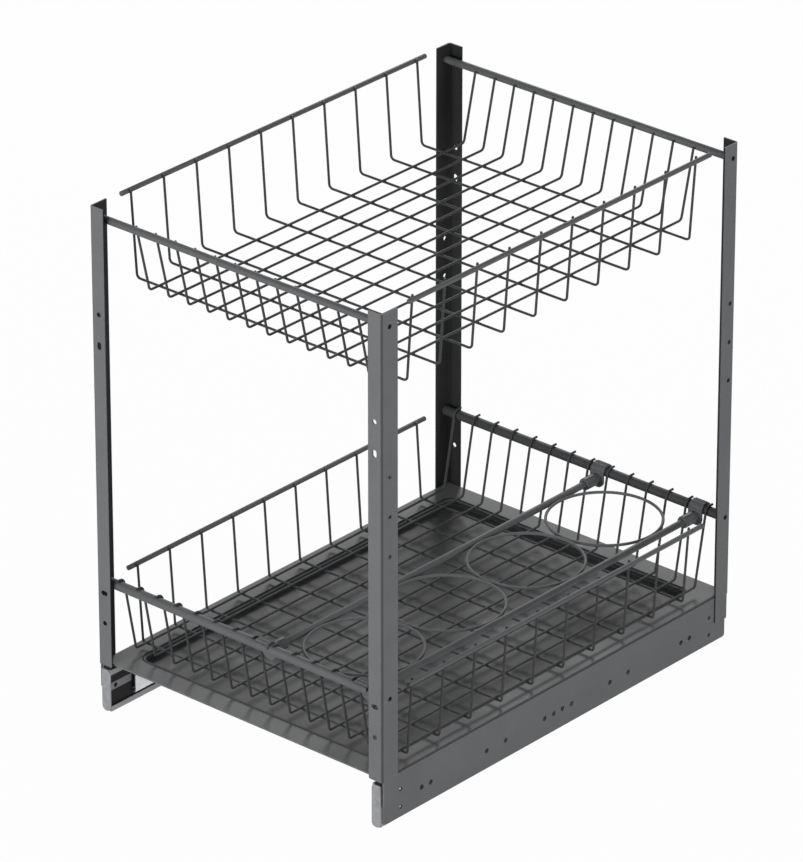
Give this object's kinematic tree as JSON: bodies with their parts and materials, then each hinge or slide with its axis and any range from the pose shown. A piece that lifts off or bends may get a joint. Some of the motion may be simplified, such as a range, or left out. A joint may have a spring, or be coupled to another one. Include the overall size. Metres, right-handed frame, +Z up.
{
  "type": "pull-out bottle rack",
  "caption": "Pull-out cabinet rack with an upper wire basket, a lower wire basket with a ring bottle divider, a drip tray and ball-bearing runners.",
  "frame": {"origin": "on the cabinet floor, at the centre of the four floor screws, under the middle of the closed rack", "axes": "+Z up, -Y the way the rack pulls out, +X to the right seen from the front"},
  "size_m": [0.364, 0.5134, 0.5374],
  "materials": {
    "anthracite_sheet": "satin powder coat, dark grey",
    "anthracite_wire": "satin powder coat, dark grey",
    "drip_tray_enamel": "satin powder coat, dark grey",
    "clip_plastic": "dark grey moulded plastic",
    "zinc_steel": "zinc-plated steel",
    "ball_steel": "polished bearing steel",
    "black_plastic": "black moulded plastic",
    "black_screw": "black oxide steel"
  },
  "bodies": {
    "floor_mount": {"front_floor_rail": "zinc_steel", "rear_floor_rail": "zinc_steel", "rail_rivets": "zinc_steel", "runner_inner_member_left": "zinc_steel", "runner_inner_member_right": "zinc_steel"},
    "middle_member_left": {"runner_middle_member_left": "zinc_steel"},
    "inner_cage_left": {"inner_ball_cage_left": "zinc_steel", "inner_balls_left": "ball_steel"},
    "outer_cage_left": {"outer_ball_cage_left": "zinc_steel", "outer_balls_left": "ball_steel"},
    "middle_member_right": {"runner_middle_member_right": "zinc_steel"},
    "inner_cage_right": {"inner_ball_cage_right": "zinc_steel", "inner_balls_right": "ball_steel"},
    "outer_cage_right": {"outer_ball_cage_right": "zinc_steel", "outer_balls_right": "ball_steel"},
    "divider": {"divider_clip_front_left": "clip_plastic", "divider_clip_front_right": "clip_plastic", "divider_clip_rear_left": "clip_plastic", "divider_clip_rear_right": "clip_plastic", "divider_ring_1": "anthracite_wire", "divider_ring_2": "anthracite_wire", "divider_ring_3": "anthracite_wire", "divider_ring_4": "anthracite_wire", "divider_rod_left": "anthracite_wire", "divider_rod_right": "anthracite_wire"},
    "rack": {"base_plate": "anthracite_sheet", "drip_tray": "drip_tray_enamel", "front_post_left": "anthracite_sheet", "front_post_right": "anthracite_sheet", "lower_basket_depth_wires": "anthracite_wire", "lower_basket_front_rod": "anthracite_wire", "lower_basket_rear_rod": "anthracite_wire", "lower_basket_side_rail_left": "anthracite_wire", "lower_basket_side_rail_right": "anthracite_wire", "lower_basket_width_wires": "anthracite_wire", "rear_post_left": "anthracite_sheet", "rear_post_right": "anthracite_sheet", "rod_screws": "black_screw", "runner_bumper_left": "black_plastic", "runner_bumper_right": "black_plastic", "runner_outer_member_left": "zinc_steel", "runner_outer_member_right": "zinc_steel", "runner_stop_strip_left": "zinc_steel", "runner_stop_strip_right": "zinc_steel", "skirt_rivets": "zinc_steel", "upper_basket_depth_wires": "anthracite_wire", "upper_basket_front_rod": "anthracite_wire", "upper_basket_rear_rod": "anthracite_wire", "upper_basket_side_rail_left": "anthracite_wire", "upper_basket_side_rail_right": "anthracite_wire", "upper_basket_width_wires": "anthracite_wire"}
  },
  "joints": [
    {"name": "rack_pull_out", "type": "slide", "parent": "floor_mount", "child": "rack", "axis": [0, -1, 0], "range_m": [0, 0.48]},
    {"name": "inner_cage_left_slide", "type": "slide", "parent": "floor_mount", "child": "inner_cage_left", "axis": [0, -1, 0], "range_m": [0, 0.12]},
    {"name": "middle_member_left_slide", "type": "slide", "parent": "floor_mount", "child": "middle_member_left", "axis": [0, -1, 0], "range_m": [0, 0.24]},
    {"name": "outer_cage_left_slide", "type": "slide", "parent": "floor_mount", "child": "outer_cage_left", "axis": [0, -1, 0], "range_m": [0, 0.36]},
    {"name": "inner_cage_right_slide", "type": "slide", "parent": "floor_mount", "child": "inner_cage_right", "axis": [0, -1, 0], "range_m": [0, 0.12]},
    {"name": "middle_member_right_slide", "type": "slide", "parent": "floor_mount", "child": "middle_member_right", "axis": [0, -1, 0], "range_m": [0, 0.24]},
    {"name": "outer_cage_right_slide", "type": "slide", "parent": "floor_mount", "child": "outer_cage_right", "axis": [0, -1, 0], "range_m": [0, 0.36]},
    {"name": "divider_lift", "type": "hinge", "parent": "rack", "child": "divider", "pos_m": [0, 0.24915, 0.1372], "axis": [-1, 0, 0], "range_deg": [0, 35]}
  ],
  "couplings": [
    {"joint": "inner_cage_left_slide", "follows": "rack_pull_out", "ratio": 0.25},
    {"joint": "middle_member_left_slide", "follows": "rack_pull_out", "ratio": 0.5},
    {"joint": "outer_cage_left_slide", "follows": "rack_pull_out", "ratio": 0.75},
    {"joint": "inner_cage_right_slide", "follows": "rack_pull_out", "ratio": 0.25},
    {"joint": "middle_member_right_slide", "follows": "rack_pull_out", "ratio": 0.5},
    {"joint": "outer_cage_right_slide", "follows": "rack_pull_out", "ratio": 0.75}
  ]
}
